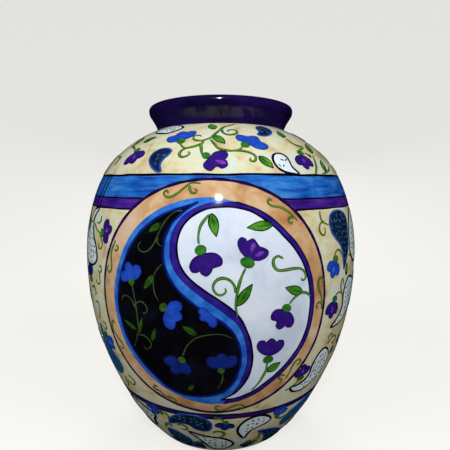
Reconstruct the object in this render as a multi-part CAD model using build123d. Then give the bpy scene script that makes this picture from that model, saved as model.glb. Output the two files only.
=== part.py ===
"""Hand-painted talavera vase: a wide-shouldered earthenware jar with a flared collar.

The pot is built as a big jar is on the wheel: a floor slab, three thrown wall sections, a collar
and a foot ring, each luted to the next with slip in a stepped joint. The fired clay carries coats of
coloured glaze, each a thin skin of its own: a lining that holds water, a dark collar coat, cream
grounds, a blue and a purple band, and a round medallion on the front and on the back, split by an S
curve into a dark and a light teardrop, each with a coloured border.

Frame: millimetres, +Z up, origin at the centre of the face that the foot stands on, the front
medallion facing -Y.
"""

import math
import os

from build123d import *

# ---- driving dimensions ----
FOOT_HEIGHT = 5.0  # the wall starts this far above the table
FOOT_OUTER_RADIUS = 75.0
FOOT_INNER_RADIUS = 65.0
FOOT_EDGE_CHAMFER = 1.2
NECK_HEIGHT = 336.0  # the crease where the shoulder meets the collar
NECK_RADIUS = 71.5
LIP_RADIUS = 80.5
TOTAL_HEIGHT = 361.5
LIP_BEAD = 4.4  # radius of the rounded lip
THROAT_RADIUS = 62.5  # the narrowest free way in
THROAT_BOTTOM = 325.0
THROAT_TOP = 340.0
WALL = 8.8  # clay with a coat of glaze on each side
FLOOR = 9.0  # clay with a coat of glaze on top
FLOOR_FLAT_RADIUS = 68.0  # the inside of the floor is flat to here
FLOOR_SLAB_RADIUS = 72.0
GLAZE = 0.8
SLIP = 0.6  # thickness of the luting slip in a joint
JOINT_STEP = 5.0  # height of the step in a wall joint
# height of each wall joint, and the radius where it steps
WALL_JOINTS = {"lower": (112.0, 133.3), "belly": (232.0, 143.2), "collar": (334.0, 67.2)}

# height and radius of the outside, from just under the heel to the neck
OUTLINE = [
    (0.0, 78.6),
    (10.0, 87.3),
    (20.0, 94.7),
    (35.0, 104.6),
    (65.0, 120.0),
    (95.0, 132.4),
    (125.0, 141.5),
    (155.0, 147.1),
    (185.0, 149.7),
    (200.0, 150.0),
    (215.0, 149.5),
    (245.0, 145.2),
    (275.0, 136.0),
    (290.0, 128.5),
    (305.0, 117.2),
    (320.0, 100.4),
    (NECK_HEIGHT, NECK_RADIUS),
]

# heights of the edges between the painted bands
GROUND_LINE = 71.0
PURPLE_BAND_BOTTOM = 256.5
BLUE_BAND_BOTTOM = 266.0
BLUE_BAND_TOP = 286.0

# the medallion, laid out flat along the wall from its centre: u to the right, v up
MEDALLION_FROM_NECK = 190.0
RING_OUTER = 109.0
DISC = 93.0
DISC_CENTRE = (-1.0, -1.0)
BLUE_BORDER = 4.6
PURPLE_BORDER = 5.0
# the three lines of the S, from its top to its bottom
DARK_EDGE = [(-12, 88), (-32, 70), (-39, 45), (-30, 20), (-5.5, 0), (18, -20), (25.5, -45), (17, -70), (4, -84)]
BORDER_LINE = [(1, 94), (-25, 71), (-33, 46), (-25, 24), (-2, 6.5), (21, -14), (29.5, -44), (20, -72), (-1, -96)]
LIGHT_EDGE = [(14, 83), (-18, 68.5), (-27, 46), (-18, 25.5), (3, 10), (24, -9.5), (34, -39), (26, -67.5), (8, -88)]

FAR = 400.0  # larger than the pot, for cutting tools
HALF_TURN = 180.0  # from the front medallion to the back one


def at(height, radius):
    """A point of the section, which lies in the XZ plane."""
    return Vector(radius, 0, height)


def polygon(*corners):
    """A flat face of the section plane from (height, radius) corners."""
    return Face(Wire.make_polygon([at(h, r) for h, r in corners], close=True))


def box(low, high, inner=0.0, outer=FAR):
    return polygon((low, inner), (low, outer), (high, outer), (high, inner))


def revolved(face):
    return revolve(face, axis=Axis.Z, revolution_arc=360)


# ---- the section of the pot, at any depth under its glazed surface ----
outside = Edge.make_spline([at(h, r) for h, r in OUTLINE])


def under_outside(share, depth):
    """The point at that share of the outside's length, moved into the wall by depth."""
    along = outside % share
    return outside @ share + Vector(-along.Z, 0, along.X) * depth


def bead_point(angle, depth):
    """A point of the rounded lip: 0 degrees faces out and 90 degrees up."""
    reach = LIP_BEAD - depth
    turn = math.radians(angle)
    return at(TOTAL_HEIGHT - LIP_BEAD + reach * math.sin(turn), LIP_RADIUS - LIP_BEAD + reach * math.cos(turn))


def filled(depth):
    """Everything inside the outer surface, as far as the axis, with the surface moved in by depth."""
    shares = [i / 20 for i in range(20)]
    neck = at(NECK_HEIGHT - 0.4 * depth, NECK_RADIUS - 1.2 * depth)
    wall = [under_outside(share, depth) for share in shares] + [neck]
    foot, top = at(wall[0].Z, 0), at(TOTAL_HEIGHT - depth, 0)
    flare = [neck, at(343.0, 73.9 - depth), at(350.0, 78.2 - depth), bead_point(0, depth)]
    edges = [
        Edge.make_line(foot, wall[0]),
        Edge.make_spline(wall),
        Edge.make_spline(flare, tangents=[Vector(0.12, 0, 1), Vector(0, 0, 1)]),
        Edge.make_three_point_arc(bead_point(0, depth), bead_point(45, depth), bead_point(90, depth)),
        Edge.make_line(bead_point(90, depth), top),
        Edge.make_line(top, foot),
    ]
    return Face(Wire(edges)) & box(FOOT_HEIGHT, FAR)


def cavity(depth):
    """The space inside the pot, with its surface moved out into the wall by depth."""
    floor = FOOT_HEIGHT + FLOOR - depth
    shares = [0.08 + 0.06 * i for i in range(14)]
    wall = [under_outside(share, WALL - depth) for share in shares]
    start, end = wall[0], at(THROAT_BOTTOM + depth, THROAT_RADIUS + depth)
    throat_top = at(THROAT_TOP, THROAT_RADIUS + depth)
    corner = at(floor, FLOOR_FLAT_RADIUS)
    rim, mouth = at(FAR, LIP_RADIUS - LIP_BEAD), at(FAR, 0)
    edges = [
        Edge.make_line(at(floor, 0), corner),
        Edge.make_spline([corner, start], tangents=[Vector(1, 0, 0), wall[1] - wall[0]]),
        Edge.make_spline(wall + [end], tangents=[wall[1] - wall[0], Vector(-1, 0, 0.3)]),
        Edge.make_line(end, throat_top),
        Edge.make_spline([throat_top, bead_point(180, depth)], tangents=[Vector(0, 0, 1), Vector(0, 0, 1)]),
        Edge.make_three_point_arc(bead_point(180, depth), bead_point(135, depth), bead_point(90, depth)),
        Edge.make_line(bead_point(90, depth), rim),
        Edge.make_line(rim, mouth),
        Edge.make_line(mouth, at(floor, 0)),
    ]
    return Face(Wire(edges))


clay = filled(GLAZE) - cavity(GLAZE)
lining = cavity(GLAZE) & box(0, THROAT_TOP) - cavity(0)
outer_coat = filled(0) - cavity(0) - clay - lining


# ---- clay sections and the slip between them ----
def below(joint, rise=0.0):
    """Everything under a wall joint, whose edge steps up by JOINT_STEP at the joint's radius."""
    height, middle = WALL_JOINTS[joint]
    low, high = height - JOINT_STEP / 2 + rise, height + JOINT_STEP / 2 + rise
    return polygon((0, 0), (low, 0), (low, middle - rise), (high, middle - rise), (high, FAR), (0, FAR))


def clay_parts():
    slab_height = FOOT_HEIGHT + 3 * FLOOR
    foot_top = FOOT_HEIGHT - SLIP
    bevel = FOOT_EDGE_CHAMFER
    foot = polygon(
        (0, FOOT_INNER_RADIUS + bevel),
        (0, FOOT_OUTER_RADIUS - bevel),
        (bevel, FOOT_OUTER_RADIUS),
        (foot_top, FOOT_OUTER_RADIUS),
        (foot_top, FOOT_INNER_RADIUS),
        (bevel, FOOT_INNER_RADIUS),
    )
    return {
        "foot_ring": foot,
        "foot_slip": box(foot_top, FOOT_HEIGHT, FOOT_INNER_RADIUS, FOOT_OUTER_RADIUS),
        "floor_slab": clay & box(0, slab_height, 0, FLOOR_SLAB_RADIUS),
        "floor_slip": clay & box(0, slab_height, FLOOR_SLAB_RADIUS, FLOOR_SLAB_RADIUS + SLIP),
        "lower_wall": clay & below("lower") - box(0, slab_height, 0, FLOOR_SLAB_RADIUS + SLIP),
        "belly_slip": clay & below("lower", SLIP) - below("lower"),
        "belly_wall": clay & below("belly") - below("lower", SLIP),
        "shoulder_slip": clay & below("belly", SLIP) - below("belly"),
        "shoulder_wall": clay & below("collar") - below("belly", SLIP),
        "collar_slip": clay & below("collar", SLIP) - below("collar"),
        "collar": clay - below("collar", SLIP),
    }


def coat(low, high):
    """The outer coat of glaze between two heights."""
    return revolved(outer_coat & box(low, high))


# ---- the medallion: its outlines are drawn flat, wrapped on the wall and seen from the front ----
def on_wall(u, v):
    """A point of the medallion, u to the right of its centre and v above it, seen square on."""
    up_wall = outside.length - MEDALLION_FROM_NECK + v
    point = outside.position_at(up_wall, PositionMode.LENGTH)
    turn = u / point.X
    return Vector(point.X * math.sin(turn), 0, point.Z)


def disc_points(radius, first, last, steps):
    """Points round the medallion's centre; angles are in degrees, 0 to the right and 90 up."""
    angles = [math.radians(first + (last - first) * i / steps) for i in range(steps + 1)]
    return [(DISC_CENTRE[0] + radius * math.cos(a), DISC_CENTRE[1] + radius * math.sin(a)) for a in angles]


def cutter(*curves):
    """A tool through the front wall, bounded by smooth curves that run end to end."""
    if len(curves) == 1:
        edges = [Edge.make_spline([on_wall(*p) for p in curves[0][:-1]], periodic=True)]
    else:
        edges = [Edge.make_spline([on_wall(*p) for p in curve]) for curve in curves]
    return extrude(Face(Wire(edges)), amount=FAR, dir=(0, -1, 0))


def medallion():
    """The five painted fields of the front medallion, and the tool that cuts its place in the bands."""
    ring = cutter(disc_points(RING_OUTER, 0, 360, 24))
    disc = cutter(disc_points(DISC, 0, 360, 24))
    dark = cutter(DARK_EDGE, DARK_EDGE[-1:] + disc_points(DISC - BLUE_BORDER, 250, 112, 8) + DARK_EDGE[:1])
    light = cutter(LIGHT_EDGE, LIGHT_EDGE[-1:] + disc_points(DISC - PURPLE_BORDER, -70, 68, 8) + LIGHT_EDGE[:1])
    past_rim = disc_points(DISC + PURPLE_BORDER, 262, 98, 8)
    left = cutter(BORDER_LINE, BORDER_LINE[-1:] + past_rim + BORDER_LINE[:1])
    skin = coat(GROUND_LINE, BLUE_BAND_TOP)
    fields = {
        "ring": skin & (ring - disc),
        "blue_border": skin & (disc & left) - dark,
        "dark_field": skin & dark,
        "purple_border": skin & (disc - left - light),
        "light_field": skin & light,
    }
    return fields, ring


def save(name, shape):
    export_step(shape, f"parts/{name}.step")


def main():
    os.makedirs("parts", exist_ok=True)
    for name, face in clay_parts().items():
        save(name, revolved(face))
    save("inner_lining", revolved(lining))
    save("lower_ground", coat(FOOT_HEIGHT, GROUND_LINE))
    save("shoulder_ground", coat(BLUE_BAND_TOP, NECK_HEIGHT))
    save("collar_coat", coat(NECK_HEIGHT, FAR))
    fields, front_cut = medallion()
    back_cut = front_cut.rotate(Axis.Z, HALF_TURN)
    bands = {
        "side_ground": coat(GROUND_LINE, PURPLE_BAND_BOTTOM),
        "purple_band": coat(PURPLE_BAND_BOTTOM, BLUE_BAND_BOTTOM),
        "blue_band": coat(BLUE_BAND_BOTTOM, BLUE_BAND_TOP),
    }
    for name, band in bands.items():
        save(name, band - front_cut - back_cut)
    for name, field in fields.items():
        save(f"front_{name}", field)
        save(f"back_{name}", field.rotate(Axis.Z, HALF_TURN))


main()
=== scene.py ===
"""The looks of the hand-painted talavera vase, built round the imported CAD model.

The fired clay, slip, lining and collar are the CAD parts with better materials. Each painted coat is
rebuilt here as a closed skin on the same wall, and every brush stroke, leaf, petal and paisley is a
thin closed layer of enamel on top of it. Drawing is done in two numbers: degrees round the pot from
the front, and climb, the distance in mm up the wall from the medallion's centre.
"""

import math

import bpy
import numpy as np
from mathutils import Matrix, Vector
from mathutils.geometry import delaunay_2d_cdt


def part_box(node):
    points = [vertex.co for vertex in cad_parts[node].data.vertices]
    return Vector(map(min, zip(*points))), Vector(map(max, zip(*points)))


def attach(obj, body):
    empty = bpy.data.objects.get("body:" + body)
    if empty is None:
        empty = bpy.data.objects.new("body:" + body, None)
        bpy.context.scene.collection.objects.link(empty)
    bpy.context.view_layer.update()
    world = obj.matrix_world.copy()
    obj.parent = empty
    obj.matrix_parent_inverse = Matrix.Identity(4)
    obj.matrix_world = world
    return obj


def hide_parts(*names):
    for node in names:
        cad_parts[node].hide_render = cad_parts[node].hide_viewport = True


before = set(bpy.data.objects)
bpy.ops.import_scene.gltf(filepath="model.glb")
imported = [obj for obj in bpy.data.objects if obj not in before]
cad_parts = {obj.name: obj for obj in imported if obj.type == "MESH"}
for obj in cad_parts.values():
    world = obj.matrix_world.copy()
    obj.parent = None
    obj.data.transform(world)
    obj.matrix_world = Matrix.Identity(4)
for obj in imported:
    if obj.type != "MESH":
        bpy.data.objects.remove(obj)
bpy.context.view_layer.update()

MM = 0.001
GLAZE = 0.8  # the coats stand this far off the clay
SKIN = 0.6  # thickness of each rebuilt coat
BURY = 0.3  # brush strokes reach this far into the coat under them
SEGMENTS = 384
ROW = 2.5  # height of a row of faces on the plain coats

# how far each layer of paint stands off the coats
BAND_LIFT = 0.10
RING_LIFT = 0.16
BORDER_LIFT = 0.22
FIELD_LIFT = 0.28
LINE_LIFT = 0.36
STEM_LIFT = 0.40
LEAF_LIFT = 0.46
PETAL_LIFT = 0.50
TOUCH = 0.06  # each further touch of paint on a motif
EDGE_DROP = 0.03  # a layer of paint is this much thinner at its edge
EDGE_WIDTH = 0.7  # and thins over this distance


# ---- the wall, read from the CAD coats ----
COATS = ("lower_ground", "side_ground", "purple_band", "blue_band", "shoulder_ground")
OUTLINE_STEP = 6.0


def outline_points():
    """(height, radius) in mm of corners of the coats' outward faces, at least OUTLINE_STEP apart."""
    found = {}
    for name in COATS:
        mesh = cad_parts[name].data
        for face in mesh.polygons:
            away = Vector((face.center.x, face.center.y, 0)).normalized()
            if face.normal.dot(away) > 0.3:
                for corner in face.vertices:
                    point = mesh.vertices[corner].co / MM
                    found[round(point.z, 2)] = math.hypot(point.x, point.y)
    heights = sorted(found)
    kept = [heights[0]]
    for height in heights:
        if height - kept[-1] >= OUTLINE_STEP and heights[-1] - height >= OUTLINE_STEP:
            kept.append(height)
    kept.append(heights[-1])
    return np.array(kept), np.array([found[height] for height in kept])


def cubic_spline(x, y, at):
    """A natural cubic spline through (x, y), evaluated at the given places."""
    gap = np.diff(x)
    slope = np.diff(y) / gap
    count = len(x)
    matrix = np.eye(count)
    right = np.zeros(count)
    for i in range(1, count - 1):
        matrix[i, i - 1 : i + 2] = gap[i - 1], 2 * (gap[i - 1] + gap[i]), gap[i]
        right[i] = 6 * (slope[i] - slope[i - 1])
    bend = np.linalg.solve(matrix, right)
    i = np.clip(np.searchsorted(x, at) - 1, 0, count - 2)
    before, after = at - x[i], x[i + 1] - at
    return (
        (bend[i] * after**3 + bend[i + 1] * before**3) / (6 * gap[i])
        + (y[i] / gap[i] - bend[i] * gap[i] / 6) * after
        + (y[i + 1] / gap[i] - bend[i + 1] * gap[i] / 6) * before
    )


known_heights, known_radii = outline_points()
HEIGHTS = np.linspace(known_heights[0], known_heights[-1], 1600)
RADII = cubic_spline(known_heights, known_radii, HEIGHTS)
STEPS = np.hypot(np.diff(HEIGHTS), np.diff(RADII))
ALONG = np.concatenate(([0.0], np.cumsum(STEPS)))
TILT = np.gradient(RADII, HEIGHTS)
OUT = 1 / np.hypot(1, TILT)
UP = -TILT * OUT

ring_low, ring_high = (np.interp(corner.z / MM, HEIGHTS, ALONG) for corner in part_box("front_ring"))
CLIMBS = ALONG - (ring_low + ring_high) / 2
RING_RADIUS = (ring_high - ring_low) / 2


def climb_at(height):
    return float(np.interp(height / MM, HEIGHTS, CLIMBS))


def radius_at(climb):
    return np.interp(climb, CLIMBS, RADII)


def on_pot(degrees, climb, lift):
    """Points in metres, that many mm off the wall's glazed surface."""
    turn = np.radians(degrees)
    radius = radius_at(climb) + lift * np.interp(climb, CLIMBS, OUT)
    height = np.interp(climb, CLIMBS, HEIGHTS) + lift * np.interp(climb, CLIMBS, UP)
    return np.stack((radius * np.sin(turn), -radius * np.cos(turn), height), axis=-1) * MM


FOOT_CLIMB, NECK_CLIMB = CLIMBS[0], CLIMBS[-1]
GROUND_CLIMB = climb_at(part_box("side_ground")[0].z)
PURPLE_LOW = climb_at(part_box("purple_band")[0].z)
BLUE_LOW = climb_at(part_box("blue_band")[0].z)
BLUE_HIGH = climb_at(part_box("blue_band")[1].z)


# ---- materials ----
def linear(*colour):
    """A linear colour with alpha from red, green and blue as they look on a screen, 0 to 255."""
    channels = [c / 255 for c in colour]
    return [c / 12.92 if c <= 0.04045 else ((c + 0.055) / 1.055) ** 2.4 for c in channels] + [1.0]


def node(tree, kind, inputs=None, **settings):
    """A shader node; an input is a value, or the output socket that feeds it."""
    made = tree.nodes.new("ShaderNode" + kind)
    for key, value in settings.items():
        setattr(made, key, value)
    for socket, value in (inputs or {}).items():
        if isinstance(value, bpy.types.NodeSocket):
            tree.links.new(value, made.inputs[socket])
        else:
            made.inputs[socket].default_value = value
    return made


def noise(tree, scale, detail=3.0, stretch=(1, 1, 1), distortion=0.0):
    where = node(tree, "TexCoord").outputs["Object"]
    mapped = node(tree, "Mapping", {"Vector": where, "Scale": stretch}).outputs["Vector"]
    inputs = {"Vector": mapped, "Scale": scale, "Detail": detail, "Distortion": distortion}
    return node(tree, "TexNoise", inputs).outputs["Fac"]


def ramp(tree, factor, stops):
    made = node(tree, "ValToRGB", {"Fac": factor})
    elements = made.color_ramp.elements
    while len(elements) < len(stops):
        elements.new(0.5)
    for element, (place, colour) in zip(elements, stops):
        element.position = place
        element.color = linear(*colour)
    return made.outputs["Color"]


def blend(tree, factor, first, second, mode="MIX"):
    made = node(tree, "Mix", data_type="RGBA", blend_type=mode)
    for socket, value in ((made.inputs["Factor"], factor), (made.inputs[6], first),
                          (made.inputs[7], second)):
        if isinstance(value, bpy.types.NodeSocket):
            tree.links.new(value, socket)
        else:
            socket.default_value = value
    return made.outputs[2]


def math_node(tree, operation, first, second):
    return node(tree, "Math", {0: first, 1: second}, operation=operation).outputs[0]


def enamel(name, tones, blotch=45.0, brush=(1, 1, 1), brushing=0.5, rim=None, shine=(0.05, 0.11)):
    """Glossy hand-brushed paint. Tones run from dark to light; blotch is the scale of its mottling, brush
    stretches its strokes, brushing is the share of strokes in the mixture, and rim is the colour of its
    edge with the edge's width in mm."""
    material = bpy.data.materials.new(name)
    material.use_nodes = True
    tree = material.node_tree
    shader = tree.nodes["Principled BSDF"]
    mottle = noise(tree, blotch, detail=6.0, distortion=0.6)
    strokes = noise(tree, 110.0, detail=4.0, stretch=brush, distortion=0.3)
    mixed = math_node(tree, "MULTIPLY", mottle, 1 - brushing)
    mixed = node(tree, "Math", {0: strokes, 1: brushing, 2: mixed}, operation="MULTIPLY_ADD").outputs[0]
    low, high = 0.36, 0.64
    stops = [(low + (high - low) * i / (len(tones) - 1), tone) for i, tone in enumerate(tones)]
    colour = ramp(tree, mixed, stops)
    if rim:
        edge_tone, edge_width = rim
        distance = node(tree, "Attribute", attribute_name="rim").outputs["Fac"]
        wander = math_node(tree, "MULTIPLY", noise(tree, 260.0), edge_width)
        inner = math_node(tree, "ADD", distance, wander)
        share = node(tree, "MapRange", {"Value": inner, "From Min": 0.35 * edge_width,
                                        "From Max": 1.6 * edge_width})
        colour = blend(tree, share.outputs[0], linear(*edge_tone), colour)
    tree.links.new(colour, shader.inputs["Base Color"])
    gloss = node(tree, "MapRange", {"Value": noise(tree, 70.0), "From Min": 0.3, "From Max": 0.7})
    gloss.inputs["To Min"].default_value, gloss.inputs["To Max"].default_value = shine
    tree.links.new(gloss.outputs[0], shader.inputs["Roughness"])
    ripple = math_node(tree, "ADD", noise(tree, 900.0, detail=2.0),
                       math_node(tree, "MULTIPLY", strokes, 1.5))
    bump = node(tree, "Bump", {"Height": ripple, "Strength": 0.04, "Distance": 0.0004})
    tree.links.new(bump.outputs[0], shader.inputs["Normal"])
    shader.inputs["Specular IOR Level"].default_value = 0.4
    return material


def bare(name, tones, scale, roughness, relief):
    """Unglazed fired clay: matt, grainy and speckled."""
    material = bpy.data.materials.new(name)
    material.use_nodes = True
    tree = material.node_tree
    shader = tree.nodes["Principled BSDF"]
    patches = ramp(tree, noise(tree, scale, detail=5.0), [(0.35, tones[0]), (0.65, tones[1])])
    specks = ramp(tree, noise(tree, 1400.0), [(0.62, (255, 255, 255)), (0.72, (150, 130, 120))])
    tree.links.new(blend(tree, 0.5, patches, specks, "MULTIPLY"), shader.inputs["Base Color"])
    shader.inputs["Roughness"].default_value = roughness
    grain = noise(tree, 1600.0, detail=6.0)
    rings = noise(tree, 40.0, stretch=(1, 1, 12))
    height = math_node(tree, "ADD", grain, rings)
    bump = node(tree, "Bump", {"Height": height, "Strength": relief, "Distance": 0.0006})
    tree.links.new(bump.outputs[0], shader.inputs["Normal"])
    return material


ROUND = (0.35, 0.35, 3.0)  # strokes that run round the pot
CREAM = enamel("cream_glaze", [(176, 158, 116), (200, 190, 150), (204, 204, 176), (196, 208, 200)], 38,
               brushing=0.3)
BLUE = enamel("blue_glaze", [(18, 52, 136), (26, 82, 168), (36, 104, 184), (62, 128, 190)], 34, ROUND, 0.55)
PURPLE = enamel("purple_glaze", [(36, 16, 92), (58, 26, 126), (78, 42, 140)], 40, ROUND, 0.55)
PEACH = enamel("peach_glaze", [(160, 112, 70), (184, 142, 100), (198, 166, 128), (202, 178, 152)], 30,
               brushing=0.3)
BLACK = enamel("black_glaze", [(4, 4, 9), (8, 8, 14), (14, 15, 26)], 30, brushing=0.4)
WHITE = enamel("white_glaze", [(188, 200, 216), (204, 214, 230), (214, 222, 234)], 26, brushing=0.3)
AZURE = enamel("azure_border", [(30, 78, 172), (38, 102, 194), (58, 126, 204)], 60)
VIOLET = enamel("violet_border", [(30, 18, 108), (42, 26, 126), (54, 38, 140)], 60, rim=((18, 8, 72), 0.9))
NAVY_LINE = enamel("navy_line", [(8, 16, 84), (16, 34, 128)], 80)
INK = enamel("ink_line", [(6, 4, 18), (14, 8, 34)], 80)
PLUM = enamel("plum_line", [(18, 8, 48), (34, 14, 76)], 60)
BAND_PLUM = enamel("plum_band", [(34, 16, 84), (52, 26, 112)], 60, ROUND)
STEM_DARK = enamel("stem_dark", [(16, 42, 14), (34, 66, 20)], 120)
STEM_LIGHT = enamel("stem_light", [(66, 124, 34), (98, 152, 52)], 120)
STEM_DIM = enamel("stem_dim", [(34, 50, 24), (66, 92, 48)], 90)
LEAF_EDGE = enamel("leaf_edge", [(8, 34, 8), (18, 52, 14)], 120)
LEAF = enamel("leaf_green", [(34, 84, 18), (60, 126, 32), (92, 150, 52)], 160)
LEAF_DIM = enamel("leaf_dim", [(30, 56, 16), (62, 100, 34)], 160)
BUD = enamel("bud_green", [(28, 84, 22), (56, 132, 40)], 160, rim=((16, 52, 14), 0.8))
BUD_DIM = enamel("bud_dim", [(36, 66, 20), (70, 106, 40)], 160)
FLOWER_PURPLE = enamel("flower_purple", [(40, 18, 104), (52, 26, 122)], 150, rim=((18, 4, 58), 1.3))
FLOWER_GLOW = enamel("flower_glow", [(84, 40, 140), (128, 66, 176)], 200)
FLOWER_BLUE = enamel("flower_blue", [(24, 56, 160), (36, 80, 190)], 130, rim=((16, 36, 130), 1.3))
FLOWER_DEEP = enamel("flower_deep", [(14, 32, 104), (22, 46, 134)], 130, rim=((10, 20, 84), 1.3))
BLUE_GLOW = enamel("blue_glow", [(40, 96, 214), (70, 126, 224)], 200)
FLOWER_NAVY = enamel("flower_navy", [(16, 22, 96), (26, 36, 128)], 130, rim=((8, 10, 60), 1.3))
NAVY = enamel("navy_paisley", [(8, 12, 40), (18, 26, 70), (26, 40, 92)], 120)
NAVY_RIM = enamel("navy_rim", [(26, 56, 128), (44, 88, 160)], 120)
TEAL = enamel("teal_paisley", [(18, 70, 110), (30, 104, 140)], 120, rim=((12, 48, 84), 1.4))
PALE = enamel("pale_paisley", [(196, 212, 214), (214, 224, 232)], 90)
INDIGO = enamel("indigo_glaze", [(12, 6, 38), (20, 10, 54), (30, 16, 74)], 22, ROUND, 0.4,
                shine=(0.1, 0.16))
LINING = enamel("lining_glaze", [(150, 128, 96), (172, 150, 116), (186, 166, 134)], 30)
CLAY = bare("bisque_clay", [(176, 112, 76), (198, 136, 98)], 30, 0.85, 0.35)
SLIP = bare("luting_slip", [(150, 100, 74), (168, 118, 88)], 60, 0.9, 0.25)
FLECK = enamel("green_fleck", [(20, 84, 62), (50, 124, 96)], 160)


# ---- paint on the wall ----
class Paint:
    """One object: closed layers of one material, drawn for the front and repeated on the back."""

    made = []

    def __init__(self, name, material, slot, *replaced, both_sides=True):
        self.name, self.material, self.slot, self.replaced = name, material, slot, replaced
        self.both_sides = both_sides
        self.points, self.rims, self.faces, self.count = [], [], [], 0
        Paint.made.append(self)

    def add(self, points, faces, rims):
        self.faces += [[corner + self.count for corner in face] for face in faces]
        self.points.append(points)
        self.rims.append(rims)
        self.count += len(points)

    def build(self):
        points, rims, faces = np.concatenate(self.points), np.concatenate(self.rims), self.faces
        if self.both_sides:
            faces = faces + [[corner + len(points) for corner in face] for face in faces]
            points = np.concatenate((points, points * (-1, -1, 1)))
            rims = np.concatenate((rims, rims))
        mesh = bpy.data.meshes.new(self.name)
        mesh.from_pydata(points.tolist(), [], faces)
        mesh.attributes.new("rim", "FLOAT", "POINT").data.foreach_set("value", rims.astype(np.float32))
        mesh.shade_smooth()
        mesh.set_sharp_from_angle(angle=math.radians(50))
        mesh.materials.append(self.material)
        piece = bpy.data.objects.new(self.name, mesh)
        bpy.context.scene.collection.objects.link(piece)
        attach(piece, "root")
        if self.replaced:
            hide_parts(*self.replaced)


def shell(paint, degrees, climb, lift, depth, rim=None):
    """A closed layer over a grid of rows going up and columns going round to where they began."""
    rows, columns = degrees.shape
    top = on_pot(degrees, climb, lift).reshape(-1, 3)
    bottom = on_pot(degrees, climb, np.full(degrees.shape, -depth)).reshape(-1, 3)
    under = rows * columns
    faces = []
    for row in range(rows):
        for column in range(columns):
            beside = (column + 1) % columns
            a, b = row * columns + column, row * columns + beside
            if row < rows - 1:
                c, d = b + columns, a + columns
                faces.append((a, b, c, d))
                faces.append((under + a, under + d, under + c, under + b))
            else:
                faces.append((a, b, under + b, under + a))
            if row == 0:
                faces.append((b, a, under + a, under + b))
    rims = np.zeros(degrees.shape) if rim is None else rim
    paint.add(np.concatenate((top, bottom)), faces, np.concatenate((rims.ravel(), rims.ravel())))


def coat(name, material, slot, low, high, *replaced):
    """A plain coat all round the pot."""
    paint = Paint(name, material, slot, *replaced, both_sides=False)
    rows = max(2, round((high - low) / ROW) + 1)
    climb, degrees = np.meshgrid(
        np.linspace(low, high, rows), np.arange(SEGMENTS) * 360 / SEGMENTS, indexing="ij"
    )
    shell(paint, degrees, climb, np.zeros(climb.shape), SKIN)


def wobble(degrees, seed, size):
    """The small wander of a hand-drawn line, in mm, which closes on itself."""
    turn = np.radians(degrees)
    waves = [math.sin(seed * (k + 2)) * np.sin(k * turn + seed * k * k) for k in (2, 3, 5, 9, 14, 23)]
    return size * sum(waves) / 2


def hoop(paint, climb, width, lift, seed, wander=0.35):
    """A brushed line all round the pot."""
    degrees = np.arange(SEGMENTS) * 360 / SEGMENTS
    across = np.array((-1.0, -0.7, 0.0, 0.7, 1.0))[:, None]
    height = np.array((0.6, 0.9, 1.0, 0.9, 0.6))[:, None]
    half = width / 2 * (1 + 0.5 * wobble(degrees, seed + 1, 0.35))
    middle = climb + wobble(degrees, seed, wander)
    shell(paint, np.tile(degrees, (5, 1)), middle + across * half, np.tile(lift * height, (1, SEGMENTS)),
          BURY)


class Place:
    """Where a group of motifs is drawn. Its points are degrees and climbs, turned round the pot; in a flat
    place they are mm to the right of the medallion's centre and mm above it."""

    def __init__(self, turn=0.0, flat=False):
        self.turn, self.flat = turn, flat

    def __call__(self, points):
        points = np.array(points, float)
        if self.flat:
            points[:, 0] = np.degrees(points[:, 0] / radius_at(points[:, 1]))
        points[:, 0] += self.turn
        return points


class Sheet:
    """A flat sheet in mm laid on the wall about the middle of some points."""

    def __init__(self, points):
        self.middle = points.mean(axis=0)

    def flatten(self, points):
        across = np.radians(points[:, 0] - self.middle[0]) * radius_at(points[:, 1])
        return np.column_stack((across, points[:, 1] - self.middle[1]))

    def wrap(self, flat):
        climb = flat[:, 1] + self.middle[1]
        return self.middle[0] + np.degrees(flat[:, 0] / radius_at(climb)), climb


def smooth(points, closed=False, spacing=0.8):
    """Evenly spaced points on a centripetal Catmull-Rom curve through the given ones."""
    if closed:
        ends = np.vstack((points[-1], points, points[:2]))
    else:
        ends = np.vstack((2 * points[0] - points[1], points, 2 * points[-1] - points[-2]))
    fine = []
    for p0, p1, p2, p3 in zip(ends, ends[1:], ends[2:], ends[3:]):
        t1 = max(np.linalg.norm(p1 - p0), 1e-6) ** 0.5
        t2 = t1 + max(np.linalg.norm(p2 - p1), 1e-6) ** 0.5
        t3 = t2 + max(np.linalg.norm(p3 - p2), 1e-6) ** 0.5
        t = np.linspace(t1, t2, 12, endpoint=False)[:, None]
        a1 = (t1 - t) / t1 * p0 + t / t1 * p1
        a2 = (t2 - t) / (t2 - t1) * p1 + (t - t1) / (t2 - t1) * p2
        a3 = (t3 - t) / (t3 - t2) * p2 + (t - t2) / (t3 - t2) * p3
        b1 = (t2 - t) / t2 * a1 + t / t2 * a2
        b2 = (t3 - t) / (t3 - t1) * a2 + (t - t1) / (t3 - t1) * a3
        fine.append((t2 - t) / (t2 - t1) * b1 + (t - t1) / (t2 - t1) * b2)
    fine = np.vstack(fine + [points[:1] if closed else points[-1:]])
    along = np.concatenate(([0.0], np.cumsum(np.hypot(*np.diff(fine, axis=0).T))))
    count = max(6, round(along[-1] / spacing))
    even = np.linspace(0, along[-1], count + 1)
    even = even[:-1] if closed else even
    return np.column_stack([np.interp(even, along, fine[:, axis]) for axis in (0, 1)])


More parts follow.
